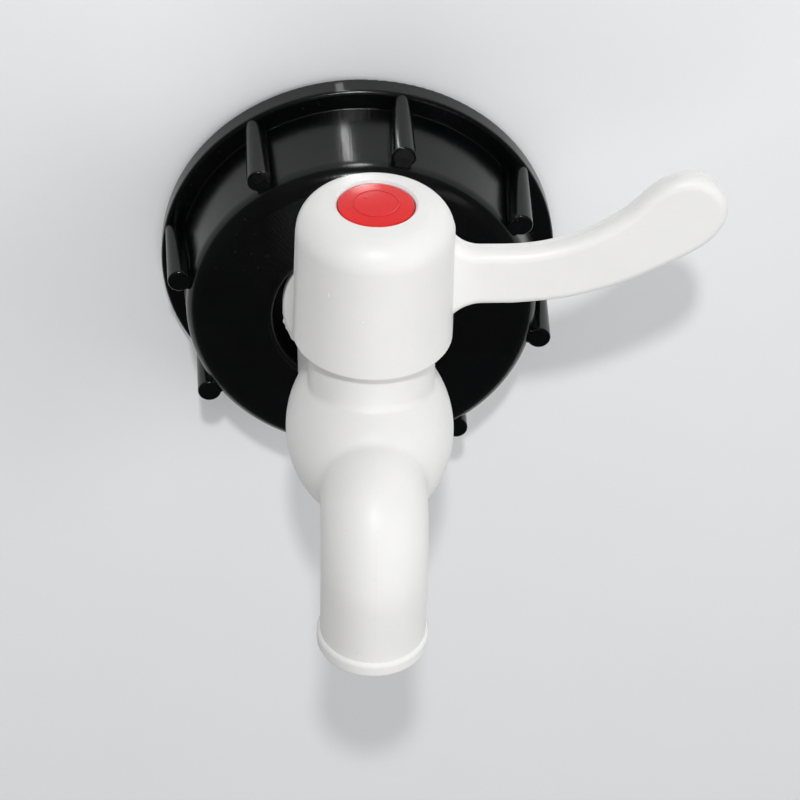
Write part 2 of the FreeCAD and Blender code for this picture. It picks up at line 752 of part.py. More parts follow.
def main():
    """Build every piece and write one file for each."""
    os.makedirs("parts", exist_ok=True)
    pieces = {
        "cap_shell": make_cap_shell(),
        "tank_gasket": make_tank_gasket(),
        "shoulder_washer": make_shoulder_washer(),
        "lock_washer": make_lock_washer(),
        "lock_nut": make_lock_nut(),
        "inlet_tail": make_inlet_tail(),
        "tail_o_ring": make_tail_o_ring(),
        "valve_body": make_valve_body(),
        "inlet_seat": seat(1),
        "outlet_seat": seat(-1),
        "inlet_seat_o_ring": seat_o_ring(1),
        "outlet_seat_o_ring": seat_o_ring(-1),
        "ball": make_ball(),
        "stem": make_stem(),
        "thrust_washer": make_thrust_washer(),
        "stem_o_ring_lower": stem_o_ring(stem_ring_lower),
        "stem_o_ring_upper": stem_o_ring(stem_ring_upper),
        "gland_washer": make_gland_washer(),
        "gland_nut": make_gland_nut(),
        "handle": make_handle(),
        "button": make_button(),
        "handle_screw": make_handle_screw(),
        "screw_washer": make_screw_washer(),
    }
    for name, shape in pieces.items():
        box = shape.BoundBox
        print(name, shape.isValid(), len(shape.Solids), round(shape.Volume, 1), box)
        shape.exportStep("parts/" + name + ".step")


main()
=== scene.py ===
"""Looks of a white quarter-turn tap in a black ribbed screw cap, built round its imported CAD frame."""

import json
import logging
import math
from dataclasses import dataclass, field
from enum import Enum
from typing import Callable, Dict, List, Optional, Sequence, Tuple

import bmesh
import bpy
from mathutils import Matrix, Vector, noise


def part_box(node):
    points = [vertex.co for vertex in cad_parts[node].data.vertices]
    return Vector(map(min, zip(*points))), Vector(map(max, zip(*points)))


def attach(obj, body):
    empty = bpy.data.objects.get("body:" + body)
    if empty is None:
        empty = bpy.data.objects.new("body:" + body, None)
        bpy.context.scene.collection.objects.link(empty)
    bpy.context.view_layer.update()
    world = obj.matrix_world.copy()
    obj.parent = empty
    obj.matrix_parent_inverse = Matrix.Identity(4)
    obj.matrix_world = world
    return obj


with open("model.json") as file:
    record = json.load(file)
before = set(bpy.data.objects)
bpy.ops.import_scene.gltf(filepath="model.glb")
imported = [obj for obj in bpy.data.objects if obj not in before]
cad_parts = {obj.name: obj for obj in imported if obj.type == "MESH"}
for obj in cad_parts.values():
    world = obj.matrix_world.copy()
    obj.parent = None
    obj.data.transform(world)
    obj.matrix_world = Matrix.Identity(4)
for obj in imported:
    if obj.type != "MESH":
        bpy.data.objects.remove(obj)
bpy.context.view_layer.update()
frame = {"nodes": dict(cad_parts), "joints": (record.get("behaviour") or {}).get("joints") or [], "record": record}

LOG = logging.getLogger("tap_looks")
MILLIMETRE = 0.001
CLOUD_BAND = (0.3, 0.7)
GLOSS_BAND = (0.25, 0.75)
SPECK_BAND = (0.5, 0.65)
CLOUD_DETAIL = 4.0
CLOUD_ROUGHNESS = 0.6
GRAIN_DETAIL = 2.0
LINE_DETAIL = 3.0
RING_DETAIL = 2.0
PATCH_DETAIL = 3.0
PATCH_SCALE = 60.0
SCATTER_RADIUS = (1.0, 0.9, 0.8)
SCATTER_SCALE = 0.0015
Colour = Tuple[float, float, float]
Point = Tuple[float, float, float]


class Body(Enum):
    """The two moving bodies of the tap."""

    FIXED = "tap_and_cap"
    TURNING = "handle_and_ball"


class Axis(Enum):
    """The axis that a turned surface runs round."""

    BARREL = "barrel"
    HANDLE = "handle"


def mount_radius(name: str) -> float:
    """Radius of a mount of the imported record.

    Args:
        name: The mount's name.

    Returns:
        Its radius in metres.
    """
    mount = next(m for m in frame["record"]["mounts"] if m["name"] == name)
    return mount["dims"]["r_mm"] * MILLIMETRE


def handle_axis() -> Vector:
    """Point on the vertical axis that the handle turns round."""
    return Vector(frame["joints"][0]["pos_m"])


def noise_node(tree: bpy.types.NodeTree, detail: float, scale: float = 1.0) -> bpy.types.Node:
    """Noise texture node with its detail and scale set.

    Args:
        tree: The tree that it goes into.
        detail: Its detail.
        scale: Its scale.

    Returns:
        The node.
    """
    node = tree.nodes.new("ShaderNodeTexNoise")
    node.inputs["Detail"].default_value = detail
    node.inputs["Scale"].default_value = scale
    return node


def band_node(tree: bpy.types.NodeTree, source: bpy.types.NodeSocket,
              band: Tuple[float, float]) -> bpy.types.Node:
    """Map range node that spreads a band of its source over the full range.

    Args:
        tree: The tree that it goes into.
        source: The socket that it reads.
        band: The values that become nought and one.

    Returns:
        The node.
    """
    node = tree.nodes.new("ShaderNodeMapRange")
    node.inputs["From Min"].default_value, node.inputs["From Max"].default_value = band
    tree.links.new(source, node.inputs["Value"])
    return node


def math_node(tree: bpy.types.NodeTree, operation: str, first: bpy.types.NodeSocket,
              second: bpy.types.NodeSocket) -> bpy.types.Node:
    """Math node that joins two sockets.

    Args:
        tree: The tree that it goes into.
        operation: Blender's name of the operation.
        first: The socket of the first value.
        second: The socket of the second value.

    Returns:
        The node.
    """
    node = tree.nodes.new("ShaderNodeMath")
    node.operation = operation
    tree.links.new(first, node.inputs[0])
    tree.links.new(second, node.inputs[1])
    return node


def raise_height(tree: bpy.types.NodeTree, total: Optional[bpy.types.NodeSocket],
                 source: bpy.types.NodeSocket, depth: float) -> bpy.types.NodeSocket:
    """Add one more height, in metres, to the heights so far.

    Args:
        tree: The material's node tree.
        total: The socket with the heights so far, or None.
        source: The socket with the new height, from nought to one.
        depth: How deep the new height goes, in metres.

    Returns:
        The socket with the new total.
    """
    scaled = tree.nodes.new("ShaderNodeMath")
    scaled.operation = "MULTIPLY_ADD"
    scaled.inputs[1].default_value = depth
    scaled.inputs[2].default_value = 0.0
    tree.links.new(source, scaled.inputs[0])
    if total is not None:
        tree.links.new(total, scaled.inputs[2])
    return scaled.outputs["Value"]


def group_node(tree: bpy.types.NodeTree, group: bpy.types.NodeTree, title: str,
               source: bpy.types.NodeSocket) -> bpy.types.Node:
    """Node group placed in a material, with its coordinates joined.

    Args:
        tree: The material's node tree.
        group: The group.
        title: Name of the input that takes the coordinates.
        source: The socket with the coordinates.

    Returns:
        The node.
    """
    node = tree.nodes.new("ShaderNodeGroup")
    node.node_tree = group
    tree.links.new(source, node.inputs[title])
    return node


class GroupMaker:
    """Builds shader node groups, each of them once."""

    def __init__(self) -> None:
        """Start with no groups made."""
        self.made: Dict[str, bpy.types.NodeTree] = {}

    def start(
        self, name: str, inputs: Sequence[Tuple[str, str, object]], outputs: Sequence[Tuple[str, str]],
    ) -> Tuple[bpy.types.NodeTree, bpy.types.Node, bpy.types.Node]:
        """Make an empty group with its named sockets.

        Args:
            name: Name of the group.
            inputs: Name, socket type and first value of each input.
            outputs: Name and socket type of each output.

        Returns:
            The group's tree, its input node and its output node.
        """
        tree = bpy.data.node_groups.new(name, "ShaderNodeTree")
        for title, kind, value in inputs:
            socket = tree.interface.new_socket(name=title, in_out="INPUT", socket_type=kind)
            socket.default_value = value
        for title, kind in outputs:
            tree.interface.new_socket(name=title, in_out="OUTPUT", socket_type=kind)
        self.made[name] = tree
        return tree, tree.nodes.new("NodeGroupInput"), tree.nodes.new("NodeGroupOutput")

    def moulded(self) -> bpy.types.NodeTree:
        """Cloudy colour, uneven gloss and a fine pebbled skin, as moulded plastic has.

        Returns:
            The group, with a colour, a roughness and a height.
        """
        if "moulded_skin" in self.made:
            return self.made["moulded_skin"]
        tree, start, end = self.start(
            "moulded_skin",
            [("Vector", "NodeSocketVector", (0, 0, 0)), ("Colour", "NodeSocketColor", (1, 1, 1, 1)),
             ("Cloud Colour", "NodeSocketColor", (1, 1, 1, 1)), ("Cloud Scale", "NodeSocketFloat", 90.0),
             ("Grain Scale", "NodeSocketFloat", 2400.0), ("Gloss Low", "NodeSocketFloat", 0.3),
             ("Gloss High", "NodeSocketFloat", 0.45)],
            [("Colour", "NodeSocketColor"), ("Roughness", "NodeSocketFloat"),
             ("Height", "NodeSocketFloat")],
        )
        link = tree.links.new
        cloud = noise_node(tree, CLOUD_DETAIL)
        cloud.inputs["Roughness"].default_value = CLOUD_ROUGHNESS
        link(start.outputs["Vector"], cloud.inputs["Vector"])
        link(start.outputs["Cloud Scale"], cloud.inputs["Scale"])
        spread = band_node(tree, cloud.outputs["Fac"], CLOUD_BAND)
        colour = tree.nodes.new("ShaderNodeMix")
        colour.data_type = "RGBA"
        link(spread.outputs["Result"], colour.inputs["Factor"])
        link(start.outputs["Colour"], colour.inputs["A"])
        link(start.outputs["Cloud Colour"], colour.inputs["B"])
        link(colour.outputs["Result"], end.inputs["Colour"])
        grain = noise_node(tree, GRAIN_DETAIL)
        link(start.outputs["Vector"], grain.inputs["Vector"])
        link(start.outputs["Grain Scale"], grain.inputs["Scale"])
        gloss = band_node(tree, cloud.outputs["Fac"], GLOSS_BAND)
        link(start.outputs["Gloss Low"], gloss.inputs["To Min"])
        link(start.outputs["Gloss High"], gloss.inputs["To Max"])
        link(gloss.outputs["Result"], end.inputs["Roughness"])
        link(grain.outputs["Fac"], end.inputs["Height"])
        return tree

    def drag_lines(self) -> bpy.types.NodeTree:
        """Fine lines along an axis, left where the mould slid off the part.

        Returns:
            The group, whose height makes lines that run along the axis.
        """
        if "drag_lines" in self.made:
            return self.made["drag_lines"]
        tree, start, end = self.start(
            "drag_lines",
            [("Plane", "NodeSocketVector", (0, 0, 0)), ("Along", "NodeSocketFloat", 0.0),
             ("Lines", "NodeSocketFloat", 60.0), ("Stretch", "NodeSocketFloat", 60.0)],
            [("Height", "NodeSocketFloat")],
        )
        link = tree.links.new
        split = tree.nodes.new("ShaderNodeSeparateXYZ")
        link(start.outputs["Plane"], split.inputs["Vector"])
        angle = math_node(tree, "ARCTAN2", split.outputs["X"], split.outputs["Y"])
        around = math_node(tree, "MULTIPLY", angle.outputs["Value"], start.outputs["Lines"])
        along = math_node(tree, "MULTIPLY", start.outputs["Along"], start.outputs["Stretch"])
        join = tree.nodes.new("ShaderNodeCombineXYZ")
        link(around.outputs["Value"], join.inputs["X"])
        link(along.outputs["Value"], join.inputs["Y"])
        lines = noise_node(tree, LINE_DETAIL)
        link(join.outputs["Vector"], lines.inputs["Vector"])
        link(lines.outputs["Fac"], end.inputs["Height"])
        return tree

    def turned_rings(self) -> bpy.types.NodeTree:
        """Faint rings round an axis, left by the lathe that cut the mould.

        Returns:
            The group, with a height that falls and rises with the distance from the axis.
        """
        if "turned_rings" in self.made:
            return self.made["turned_rings"]
        tree, start, end = self.start(
            "turned_rings",
            [("Plane", "NodeSocketVector", (0, 0, 0)), ("Pitch", "NodeSocketFloat", 0.0006)],
            [("Height", "NodeSocketFloat")],
        )
        link = tree.links.new
        length = tree.nodes.new("ShaderNodeVectorMath")
        length.operation = "LENGTH"
        link(start.outputs["Plane"], length.inputs[0])
        rate = math_node(tree, "DIVIDE", length.outputs["Value"], start.outputs["Pitch"])
        join = tree.nodes.new("ShaderNodeCombineXYZ")
        link(rate.outputs["Value"], join.inputs["X"])
        rings = noise_node(tree, RING_DETAIL)
        link(join.outputs["Vector"], rings.inputs["Vector"])
        link(rings.outputs["Fac"], end.inputs["Height"])
        return tree

    def specks(self) -> bpy.types.NodeTree:
        """Scattered specks of dust and rubbed spots.

        Returns:
            The group, whose mask is one on a speck and nought elsewhere.
        """
        if "specks" in self.made:
            return self.made["specks"]
        tree, start, end = self.start(
            "specks",
            [("Vector", "NodeSocketVector", (0, 0, 0)), ("Scale", "NodeSocketFloat", 400.0),
             ("Size", "NodeSocketFloat", 0.12)],
            [("Mask", "NodeSocketFloat")],
        )
        link = tree.links.new
        dots = tree.nodes.new("ShaderNodeTexVoronoi")
        link(start.outputs["Vector"], dots.inputs["Vector"])
        link(start.outputs["Scale"], dots.inputs["Scale"])
        edge = tree.nodes.new("ShaderNodeMapRange")
        edge.inputs["From Max"].default_value = 0.0
        edge.inputs["To Min"].default_value = 0.0
        link(start.outputs["Size"], edge.inputs["From Min"])
        link(dots.outputs["Distance"], edge.inputs["Value"])
        patches = noise_node(tree, PATCH_DETAIL, PATCH_SCALE)
        link(start.outputs["Vector"], patches.inputs["Vector"])
        some = band_node(tree, patches.outputs["Fac"], SPECK_BAND)
        both = math_node(tree, "MULTIPLY", edge.outputs["Result"], some.outputs["Result"])
        link(both.outputs["Value"], end.inputs["Mask"])
        return tree


GROUPS = GroupMaker()


@dataclass(frozen=True)
class Finish:
    """Finish of one moulded, turned or rubber material, or of the wall."""

    name: str
    colour: Colour
    cloud_colour: Colour
    gloss_low: float
    gloss_high: float
    cloud_scale: float = 90.0
    grain_scale: float = 2400.0
    grain_depth: float = 0.00002
    line_depth: float = 0.0
    line_count: float = 60.0
    ring_depth: float = 0.0
    ring_pitch: float = 0.0006
    speck_colour: Colour = (0.5, 0.5, 0.5)
    speck_amount: float = 0.0
    speck_scale: float = 400.0
    specular: float = 0.5
    subsurface: float = 0.0
    metallic: float = 0.0
    axis: Axis = Axis.BARREL

    def plane(self, tree: bpy.types.NodeTree,
              place: bpy.types.Node) -> Tuple[bpy.types.NodeSocket, bpy.types.NodeSocket]:
        """Coordinates across and along the finish's axis.

        Args:
            tree: The material's node tree.
            place: The texture coordinate node.

        Returns:
            The socket with the two coordinates across the axis, and the socket with the one along it.
        """
        shift = tree.nodes.new("ShaderNodeVectorMath")
        shift.operation = "SUBTRACT"
        if self.axis is Axis.HANDLE:
            shift.inputs[1].default_value = handle_axis()
        tree.links.new(place.outputs["Object"], shift.inputs[0])
        split = tree.nodes.new("ShaderNodeSeparateXYZ")
        tree.links.new(shift.outputs["Vector"], split.inputs["Vector"])
        join = tree.nodes.new("ShaderNodeCombineXYZ")
        across, along = ("Y", "Z") if self.axis is Axis.HANDLE else ("Z", "Y")
        tree.links.new(split.outputs["X"], join.inputs["X"])
        tree.links.new(split.outputs[across], join.inputs["Y"])
        return join.outputs["Vector"], split.outputs[along]

    def skin(self, tree: bpy.types.NodeTree, place: bpy.types.Node) -> bpy.types.Node:
        """Moulded skin with this finish's colours, scales and gloss.

        Args:
            tree: The material's node tree.
            place: The texture coordinate node.

        Returns:
            The node of the group.
        """
        skin = group_node(tree, GROUPS.moulded(), "Vector", place.outputs["Object"])
        skin.inputs["Colour"].default_value = (*self.colour, 1)
        skin.inputs["Cloud Colour"].default_value = (*self.cloud_colour, 1)
        skin.inputs["Cloud Scale"].default_value = self.cloud_scale
        skin.inputs["Grain Scale"].default_value = self.grain_scale
        skin.inputs["Gloss Low"].default_value = self.gloss_low
        skin.inputs["Gloss High"].default_value = self.gloss_high
        return skin

    def relief(self, tree: bpy.types.NodeTree, place: bpy.types.Node,
               grain: bpy.types.NodeSocket) -> bpy.types.NodeSocket:
        """Heights of the grain, the drag lines and the rings together.

        Args:
            tree: The material's node tree.
            place: The texture coordinate node.
            grain: The socket with the skin's height.

        Returns:
            The socket with the height in metres.
        """
        height = raise_height(tree, None, grain, self.grain_depth)
        across, along = self.plane(tree, place)
        if self.line_depth:
            lines = group_node(tree, GROUPS.drag_lines(), "Plane", across)
            tree.links.new(along, lines.inputs["Along"])
            lines.inputs["Lines"].default_value = self.line_count
            height = raise_height(tree, height, lines.outputs["Height"], self.line_depth)
        if self.ring_depth:
            rings = group_node(tree, GROUPS.turned_rings(), "Plane", across)
            rings.inputs["Pitch"].default_value = self.ring_pitch
            height = raise_height(tree, height, rings.outputs["Height"], self.ring_depth)
        return height

    def dust(self, tree: bpy.types.NodeTree, place: bpy.types.Node,
             colour: bpy.types.NodeSocket) -> bpy.types.NodeSocket:
        """Colour with specks on it, where the finish has any.

        Args:
            tree: The material's node tree.
            place: The texture coordinate node.
            colour: The socket with the clean colour.

        Returns:
            The socket with the colour that shows.
        """
        if not self.speck_amount:
            return colour
        specks = group_node(tree, GROUPS.specks(), "Vector", place.outputs["Object"])
        specks.inputs["Scale"].default_value = self.speck_scale
        share = tree.nodes.new("ShaderNodeMath")
        share.operation = "MULTIPLY"
        share.inputs[1].default_value = self.speck_amount
        tree.links.new(specks.outputs["Mask"], share.inputs[0])
        dusty = tree.nodes.new("ShaderNodeMix")
        dusty.data_type = "RGBA"
        dusty.inputs["B"].default_value = (*self.speck_colour, 1)
        tree.links.new(share.outputs["Value"], dusty.inputs["Factor"])
        tree.links.new(colour, dusty.inputs["A"])
        return dusty.outputs["Result"]

    def build(self) -> bpy.types.Material:
        """Make the material with all its nodes.

        Returns:
            The finished material.
        """
        material = bpy.data.materials.new(self.name)
        material.use_nodes = True
        tree = material.node_tree
        link = tree.links.new
        shader = tree.nodes["Principled BSDF"]
        place = tree.nodes.new("ShaderNodeTexCoord")
        skin = self.skin(tree, place)
        height = self.relief(tree, place, skin.outputs["Height"])
        link(self.dust(tree, place, skin.outputs["Colour"]), shader.inputs["Base Color"])
        link(skin.outputs["Roughness"], shader.inputs["Roughness"])
        bump = tree.nodes.new("ShaderNodeBump")
        bump.inputs["Distance"].default_value = 1.0
        link(height, bump.inputs["Height"])
        link(bump.outputs["Normal"], shader.inputs["Normal"])
        shader.inputs["Specular IOR Level"].default_value = self.specular
        shader.inputs["Metallic"].default_value = self.metallic
        if self.subsurface:
            shader.inputs["Subsurface Weight"].default_value = self.subsurface
            shader.inputs["Subsurface Radius"].default_value = SCATTER_RADIUS
            shader.inputs["Subsurface Scale"].default_value = SCATTER_SCALE
        return material


CAP_BLACK = Finish("cap_black", (0.0010, 0.0012, 0.0015), (0.0018, 0.0020, 0.0024), 0.17, 0.25,
                   grain_depth=0.000010, line_depth=0.00002, line_count=70.0, ring_depth=0.000010,
                   speck_colour=(0.10, 0.10, 0.10), speck_amount=0.5, speck_scale=700.0, specular=0.32)
NUT_BLACK = Finish("nut_black", (0.010, 0.010, 0.011), (0.016, 0.016, 0.017), 0.40, 0.52,
                   grain_depth=0.000015, ring_depth=0.00002, specular=0.4)
SEAL_BLACK = Finish("seal_black", (0.016, 0.016, 0.016), (0.024, 0.024, 0.024), 0.62, 0.78,
                    grain_scale=3600.0, grain_depth=0.00003, speck_colour=(0.12, 0.12, 0.12),
                    speck_amount=0.6, specular=0.35)
BODY_WHITE = Finish("body_white", (0.860, 0.855, 0.845), (0.835, 0.832, 0.822), 0.34, 0.46,
                    grain_depth=0.000010, line_depth=0.000012, line_count=36.0,
                    speck_colour=(0.62, 0.61, 0.59), speck_amount=0.35, speck_scale=330.0,
                    subsurface=0.12, specular=0.35)
HANDLE_WHITE = Finish("handle_white", (0.865, 0.860, 0.850), (0.842, 0.838, 0.828), 0.30, 0.42,
                      grain_depth=0.000010, line_depth=0.000012, line_count=40.0,
                      speck_colour=(0.62, 0.61, 0.59), speck_amount=0.35, speck_scale=330.0,
                      subsurface=0.12, specular=0.35, axis=Axis.HANDLE)
TAIL_WHITE = Finish("tail_white", (0.840, 0.836, 0.826), (0.815, 0.810, 0.800), 0.38, 0.50,
                    grain_depth=0.000012, ring_depth=0.00001, subsurface=0.12, specular=0.35)
BUTTON_RED = Finish("button_red", (0.820, 0.010, 0.010), (0.740, 0.007, 0.008), 0.18, 0.28,
                    grain_depth=0.000008, ring_depth=0.000012, ring_pitch=0.0005, subsurface=0.10,
                    specular=0.35, axis=Axis.HANDLE)
GATE_RED = Finish("gate_red", (0.820, 0.010, 0.010), (0.740, 0.007, 0.008), 0.06, 0.10,
                  grain_depth=0.000004, specular=0.9, axis=Axis.HANDLE)
SEAT_WHITE = Finish("seat_white", (0.800, 0.795, 0.780), (0.770, 0.765, 0.750), 0.42, 0.55,
                    ring_depth=0.00001)
BALL_WHITE = Finish("ball_white", (0.820, 0.818, 0.810), (0.800, 0.798, 0.790), 0.20, 0.28,
                    grain_depth=0.000005, ring_depth=0.000006, axis=Axis.HANDLE)
STEM_NATURAL = Finish("stem_natural", (0.700, 0.680, 0.620), (0.660, 0.640, 0.580), 0.32, 0.44,
                      ring_depth=0.00001, subsurface=0.1, axis=Axis.HANDLE)
SCREW_STEEL = Finish("screw_steel", (0.560, 0.560, 0.570), (0.480, 0.480, 0.490), 0.26, 0.38,
                     grain_depth=0.000006, ring_depth=0.00001, metallic=1.0, axis=Axis.HANDLE)
PALE_WALL = Finish("pale_wall", (0.880, 0.884, 0.894), (0.862, 0.867, 0.878), 0.7, 0.8,
                   cloud_scale=14.0, grain_scale=500.0, specular=0.2)

NODE_FINISH: Dict[str, Finish] = {
    "cap_shell": CAP_BLACK,
    "tank_gasket": SEAL_BLACK,
    "shoulder_washer": SEAL_BLACK,
    "lock_washer": SEAT_WHITE,
    "lock_nut": NUT_BLACK,
    "inlet_tail": TAIL_WHITE,
    "tail_o_ring": SEAL_BLACK,
    "valve_body": BODY_WHITE,
    "inlet_seat": SEAT_WHITE,
    "outlet_seat": SEAT_WHITE,
    "inlet_seat_o_ring": SEAL_BLACK,
    "outlet_seat_o_ring": SEAL_BLACK,
    "gland_washer": SEAT_WHITE,
    "gland_nut": STEM_NATURAL,
    "handle": HANDLE_WHITE,
    "button": BUTTON_RED,
    "handle_screw": SCREW_STEEL,
    "screw_washer": SCREW_STEEL,
    "stem": STEM_NATURAL,
    "thrust_washer": SEAT_WHITE,
    "stem_o_ring_lower": SEAL_BLACK,
    "stem_o_ring_upper": SEAL_BLACK,
    "ball": BALL_WHITE,
}


class Finishes:
    """Keeps each finish's material, so that pieces of one finish share it."""

    def __init__(self) -> None:
        """Start with no materials made."""
        self.made: Dict[str, bpy.types.Material] = {}

    def material(self, finish: Finish) -> bpy.types.Material:
        """Material of a finish, made when it is first asked for.

        Args:
            finish: The finish.

        Returns:
            Its material.
        """
        if finish.name not in self.made:
            self.made[finish.name] = finish.build()
        return self.made[finish.name]

    def dress_nodes(self) -> None:
        """Give every CAD node the material of its finish."""
        for name, finish in NODE_FINISH.items():
            node = frame["nodes"][name]
            material = self.material(finish)
            node.data.materials.clear()
            node.data.materials.append(material)
            LOG.info("dressed %s in %s", name, finish.name)


FINISHES = Finishes()


def add_piece(name: str, shape: bmesh.types.BMesh, finish: Finish, body: Body,
              smooth: bool = True) -> None:
    """Turn a built shape into a piece that rides on a body.

    Args:
        name: Name of the piece.
        shape: Its built shape, which is freed.
        finish: The finish that it wears.
        body: The body that it rides on.
        smooth: Whether its faces are shaded smooth.
    """
    bmesh.ops.recalc_face_normals(shape, faces=shape.faces)
    mesh = bpy.data.meshes.new(name)
    shape.to_mesh(mesh)
    shape.free()
    for face in mesh.polygons:
        face.use_smooth = smooth
    piece = bpy.data.objects.new(name, mesh)
    bpy.context.scene.collection.objects.link(piece)
    mesh.materials.append(FINISHES.material(finish))
    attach(piece, body.value)
    LOG.info("made %s with %d faces", name, len(mesh.polygons))


def sweep(shape: bmesh.types.BMesh, sections: Sequence[Sequence[Point]], closed: bool) -> None:
    """Join a row of closed sections into one tube.

    Args:
        shape: The shape that the tube goes into.
        sections: The sections, each with as many points as the others.
        closed: Whether the last section joins the first; if not, both ends are filled.
    """
    rows = [[shape.verts.new(point) for point in section] for section in sections]
    count = len(rows[0])
    last = len(rows) if closed else len(rows) - 1
    for index in range(last):
        here = rows[index]
        there = rows[(index + 1) % len(rows)]
        for side in range(count):
            after = (side + 1) % count
            shape.faces.new((here[side], here[after], there[after], there[side]))
    if not closed:
        shape.faces.new(rows[0])
        shape.faces.new(rows[-1])


@dataclass
class CapThread:
    """Coarse right-hand thread inside the cap."""

    pitch: float = 0.006
    depth: float = 0.0021
    root_width: float = 0.0034
    crest_width: float = 0.0014
    first_y: float = -0.0150
    last_y: float = -0.0032
    steps_per_turn: int = 96
    fade_turns: float = 0.12
    end_share: float = 0.02
    crest_fall: float = 0.12
    crest_wide: float = 1.2
    crest_flat: float = 0.8
    sunk: float = 0.0003
    root: float = field(default_factory=lambda: mount_radius("tank_thread"))

    def section(self, turn: float, height: float) -> List[Point]:
        """Corners of the ridge at one place.

        Args:
            turn: How far round the ridge is, in turns.
            height: Share of the full height, from nought to one.

        Returns:
            The corners, in order.
        """
        angle = 2 * math.pi * turn
        centre = self.first_y + self.pitch * turn
        crest = self.root - self.depth * height
        half_root = self.root_width / 2
        half_crest = self.crest_width / 2
        shoulder = crest + self.depth * self.crest_fall
        corners = [
            (self.root + self.sunk, centre - half_root),
            (shoulder, centre - half_crest * self.crest_wide),
            (crest, centre - half_crest * self.crest_flat),
            (crest, centre + half_crest * self.crest_flat),
            (shoulder, centre + half_crest * self.crest_wide),
            (self.root + self.sunk, centre + half_root),
        ]
        return [(radius * math.sin(angle), y, radius * math.cos(angle)) for radius, y in corners]

    def build(self) -> None:
        """Make the ridge, with its two ends run out."""
        turns = (self.last_y - self.first_y) / self.pitch
        steps = round(turns * self.steps_per_turn)
        sections = []
        for step in range(steps + 1):
            turn = turns * step / steps
            near_end = min(turn, turns - turn) / self.fade_turns
            sections.append(self.section(turn, max(self.end_share, min(1.0, near_end))))
        shape = bmesh.new()
        sweep(shape, sections, closed=False)
        add_piece("cap_thread", shape, CAP_BLACK, Body.FIXED, smooth=False)


@dataclass
class ButtonRelief:
    """Plain raised ring and gate mark on the domed button."""

    ring_radius: float = 0.0040
    ring_width: float = 0.00045
    ring_height: float = 0.00009
    mark_radius: float = 0.00038
    mark_height: float = 0.00016
    mark_offset: Tuple[float, float] = (-0.0017, 0.0016)
    dome: float = 0.0005
    sunk: float = 0.00004
    flank_out: float = 0.5
    flank_rise: float = 0.8
    unevenness: float = 0.12
    unevenness_scale: float = 4000.0
    mark_segments: int = 20
    mark_rings: int = 12
    steps: int = 128

    def surface(self, radius: float) -> float:
        """Height of the dome's skin in the frame.

        Args:
            radius: Distance from the handle's axis.

        Returns:
            The height of the skin.
        """
        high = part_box("button")[1]
        sphere = (high.x ** 2 + self.dome ** 2) / (2 * self.dome)
        return high.z - sphere + math.sqrt(sphere ** 2 - radius ** 2)

    def build(self) -> None:
        """Make the ring and the mark."""
        centre = handle_axis()
        shape = bmesh.new()
        half = self.ring_width / 2
        flank = half * self.flank_out
        flank_height = self.ring_height * self.flank_rise
        profile = [(-half, -self.sunk), (-flank, flank_height), (0.0, self.ring_height),
                   (flank, flank_height), (half, -self.sunk)]
        sections = []
        for step in range(self.steps):
            angle = 2 * math.pi * step / self.steps
            section = []
            for offset, rise in profile:
                radius = self.ring_radius + offset
                section.append((centre.x + radius * math.cos(angle), centre.y + radius * math.sin(angle),
                                self.surface(radius) + rise))
            sections.append(section)
        sweep(shape, sections, closed=True)
        add_piece("button_ring", shape, BUTTON_RED, Body.TURNING)
        mark = bmesh.new()
        bmesh.ops.create_uvsphere(mark, u_segments=self.mark_segments, v_segments=self.mark_rings,
                                  radius=self.mark_radius)
        across, back = self.mark_offset
        skin = self.surface(math.hypot(across, back))
        for vertex in mark.verts:
            rough = 1 + self.unevenness * noise.noise(vertex.co * self.unevenness_scale)
            vertex.co = vertex.co * rough
            vertex.co.z *= self.mark_height / self.mark_radius
            vertex.co += Vector((centre.x + across, centre.y + back, skin))
        add_piece("button_gate_mark", mark, GATE_RED, Body.TURNING)


